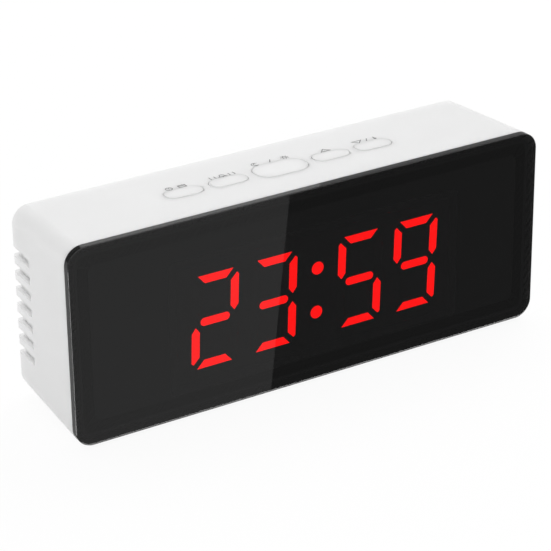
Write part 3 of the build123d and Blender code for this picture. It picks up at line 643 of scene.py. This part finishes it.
def make_lamps():
    """High soft lights from the right and the left, and a low one from the front left."""
    for name, place, side, watts in lamps:
        data = bpy.data.lights.new(name, "AREA")
        data.shape = "SQUARE"
        data.size = side
        data.energy = watts
        lamp = bpy.data.objects.new(name, data)
        lamp.location = place
        lamp.rotation_mode = "QUATERNION"
        lamp.rotation_quaternion = (lamp_target - Vector(place)).to_track_quat("-Z", "Y")
        scene.collection.objects.link(lamp)
        lamp.visible_glossy = False


# Printed marks beside the keys, drawn in millimetres and then laid on the top of the case
mark_line = 0.27
thin_line = 0.22
heavy_line = 0.36
mark_thickness = 0.02 * mm
arc_steps = 24
sharpest_turn = 0.3

# Places where the slope of the top is found, clear of the keys
top_probe_x = -50 * mm
top_probe_front = -12 * mm
top_probe_rear = 14 * mm
top_probe_lift = 10 * mm


def find_top():
    """The top of the case: a function of x and y in millimetres that gives a place on it, and its normal."""
    case = BVHTree.FromObject(nodes["housing"], bpy.context.evaluated_depsgraph_get())
    front, rear = [
        case.ray_cast(Vector((top_probe_x, y, cad_high.z + top_probe_lift)), Vector((0, 0, -1)))[0]
        for y in (top_probe_front, top_probe_rear)
    ]
    slope = (rear.z - front.z) / (rear.y - front.y)

    def place(x, y):
        return Vector((x * mm, y * mm, front.z + slope * (y * mm - front.y)))

    return place, Vector((0, -slope, 1)).normalized()


def arc(x, y, radius, start, end, steps=arc_steps):
    """Points along an arc, angles in degrees."""
    angles = [math.radians(start + (end - start) * i / steps) for i in range(steps + 1)]
    return [(x + radius * math.cos(a), y + radius * math.sin(a)) for a in angles]


def circle(x, y, radius):
    """Points round a circle."""
    return arc(x, y, radius, 0, 360)[:-1]


class Marks:
    """Marks that are drawn about a point of the top."""

    def __init__(self, top, x, y):
        self.on_top, self.normal = top
        self.x = x
        self.y = y
        self.bm = bmesh.new()

    def ring(self, points, lift=0.0):
        """Vertices at these points, this far above the case."""
        places = [self.on_top(self.x + x, self.y + y) for x, y in points]
        return [self.bm.verts.new(place + self.normal * lift) for place in places]

    def fill(self, points):
        """A thin plate with this outline."""
        low = self.ring(points)
        high = self.ring(points, mark_thickness)
        self.bm.faces.new(reversed(low))
        self.bm.faces.new(high)
        bridge(self.bm, low, high)

    def dot(self, x, y, radius):
        self.fill(circle(x, y, radius))

    def line(self, points, width=mark_line, closed=False):
        """A drawn line of even width with mitred turns."""
        count = len(points)
        left, right = [], []
        for i, (x, y) in enumerate(points):
            before = points[i - 1] if closed or i else None
            after = points[(i + 1) % count] if closed or i < count - 1 else None
            ways = []
            if before:
                ways.append(Vector((x - before[0], y - before[1])).normalized())
            if after:
                ways.append(Vector((after[0] - x, after[1] - y)).normalized())
            way = sum(ways, Vector((0, 0))).normalized()
            side = Vector((-way.y, way.x))
            reach = width / 2 / max(sharpest_turn, way.dot(ways[0]))
            left.append((x + side.x * reach, y + side.y * reach))
            right.append((x - side.x * reach, y - side.y * reach))
        if not closed:
            self.fill(right + left[::-1])
            return
        rings = [
            self.ring(left),
            self.ring(right),
            self.ring(right, mark_thickness),
            self.ring(left, mark_thickness),
        ]
        for first, second in zip(rings, rings[1:] + rings[:1]):
            bridge(self.bm, first, second)

    def build(self, name):
        """Makes the marks a piece of the case."""
        piece = piece_from(self.bm, name)
        piece.data.materials.append(materials["printed_ink"])
        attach(piece, "case")


def draw_mode(marks):
    """A clock face and a calendar leaf: what the key steps through."""
    marks.line(circle(-2.0, 0, 0.9), closed=True)
    marks.line([(-2.0, 0.5), (-2.0, 0), (-1.6, -0.2)], thin_line)
    left, right, foot, top = 0.8, 2.8, -0.85, 0.6
    marks.line([(left, foot), (right, foot), (right, top), (left, top)], closed=True)
    marks.line([(left, 0.15), (right, 0.15)], thin_line)
    for x in (1.35, 2.25):
        marks.line([(x, top), (x, 0.9)], thin_line)


def draw_alarm(marks):
    """A bell between sound waves."""
    half = [(1.1, -0.5), (0.8, -0.25), (0.65, 0.35), (0.35, 0.75), (0, 0.85)]
    marks.line(half + [(-x, y) for x, y in half[-2::-1]], closed=True)
    marks.dot(0, -0.72, 0.2)
    for radius, reach in ((2.2, 18), (3.6, 13)):
        for middle in (0, 180):
            marks.line(arc(0, 0, radius, middle - reach, middle + reach, 8))


def draw_snooze(marks):
    """A moon and a sun with a slash between them: snooze and light."""
    outer = arc(-4.6, 0, 0.98, 50.5, 309.5)
    inner = arc(-4.15, 0, 0.776, 283, 77)[1:-1]
    marks.line(outer + inner, thin_line, closed=True)
    marks.line([(-0.5, -0.85), (0.5, 0.85)])
    sun_x, rays, ray_start, ray_end = 4.5, 8, 0.88, 1.2
    marks.line(circle(sun_x, 0, 0.58), closed=True)
    for step in range(rays):
        turn = 2 * math.pi * step / rays
        way = Vector((math.cos(turn), math.sin(turn)))
        ray = [(sun_x + way.x * reach, way.y * reach) for reach in (ray_start, ray_end)]
        marks.line(ray, thin_line)


def draw_up(marks):
    """A triangle that points to the back."""
    marks.line([(-1.4, -0.75), (1.4, -0.75), (0, 0.85)], closed=True)


def draw_down(marks):
    """A triangle that points to the front, a slash and a thermometer."""
    marks.line([(-3.8, 0.7), (-1.0, 0.7), (-2.4, -0.9)], closed=True)
    marks.line([(0.0, -0.8), (0.9, 0.8)])
    marks.dot(2.9, -0.5, 0.42)
    marks.line([(2.9, -0.45), (2.9, 0.85)], heavy_line)


# The marks' names and middles, in millimetres
mark_places = (
    ("mode_marks", draw_mode, -28.8, 3.85),
    ("alarm_marks", draw_alarm, -15.0, 3.85),
    ("snooze_marks", draw_snooze, 0.7, 5.75),
    ("up_marks", draw_up, 16.5, 3.85),
    ("down_marks", draw_down, 29.5, 3.85),
)


def make_marks():
    """The printed marks, each beside its key."""
    top = find_top()
    for name, draw, x, y in mark_places:
        marks = Marks(top, x, y)
        draw(marks)
        marks.build(name)


# Dry cells: distance from the tip of the nub, radius, and the finish of the band that follows, in millimetres
cell_profile = (
    (0.0, 1.6, "contact_steel"),
    (0.15, 1.85, "contact_steel"),
    (0.8, 1.85, "contact_steel"),
    (0.83, 3.6, "tape"),
    (0.86, 4.1, "cell_band"),
    (1.0, 4.6, "cell_band"),
    (1.5, 5.15, "cell_band"),
    (4.6, 5.15, "cell_band"),
    (5.5, 5.15, "cell_band"),
    (6.1, 5.15, "cell_band"),
    (7.0, 5.15, "cell_band"),
    (11.0, 5.15, "cell_band"),
    (11.3, 5.15, "cell_jacket"),
    (43.8, 5.15, "cell_jacket"),
    (44.1, 4.85, "cell_jacket"),
    (44.3, 4.3, "contact_steel"),
    (44.5, 4.0, "contact_steel"),
)
cell_finishes = ("cell_jacket", "cell_band", "contact_steel", "tape", "cell_mark")
cell_sides = 96
cell_sharp_angle = math.radians(40)

# The plus on a cell: how many sides it takes to each side of the middle, by where the band starts
plus_bands = {4.6: 1, 5.5: 4, 6.1: 1}


def make_cell(name, nub_side):
    """A dry cell with its nub to nub_side, a pale band with a plus at that end and a dark sleeve."""
    low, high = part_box(name)
    middle = (low + high) / 2
    tip = high.x if nub_side > 0 else low.x
    turns = [2 * math.pi * i / cell_sides for i in range(cell_sides)]
    round_axis = [(math.cos(turn), math.sin(turn)) for turn in turns]
    bm = bmesh.new()
    rings = []
    for along, radius, _ in cell_profile:
        x = tip - nub_side * along * mm
        rings.append([
            bm.verts.new((x, middle.y + radius * mm * back, middle.z + radius * mm * up))
            for back, up in round_axis
        ])
    for (along, _, finish), first, second in zip(cell_profile, rings, rings[1:]):
        band = bridge(bm, first, second)
        for face in band:
            face.material_index = cell_finishes.index(finish)
        half = plus_bands.get(along, 0)
        for step in range(-half, half):
            band[step].material_index = cell_finishes.index("cell_mark")
    for ring in (rings[0], rings[-1]):
        bm.faces.new(ring).material_index = cell_finishes.index("contact_steel")
    piece = piece_from(bm, name + "_dressed")
    piece.data.shade_smooth()
    piece.data.set_sharp_from_angle(angle=cell_sharp_angle)
    for finish in cell_finishes:
        piece.data.materials.append(materials[finish])
    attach(piece, "case")
    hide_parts(name)


make_camera()
make_world()
make_floor()
make_table_cards()
make_backdrops()
make_lamps()
dress_cad_nodes()
make_bright_cards(make_lens())
make_marks()
make_cell("cell_top", -1)
make_cell("cell_middle", 1)
make_cell("cell_bottom", -1)
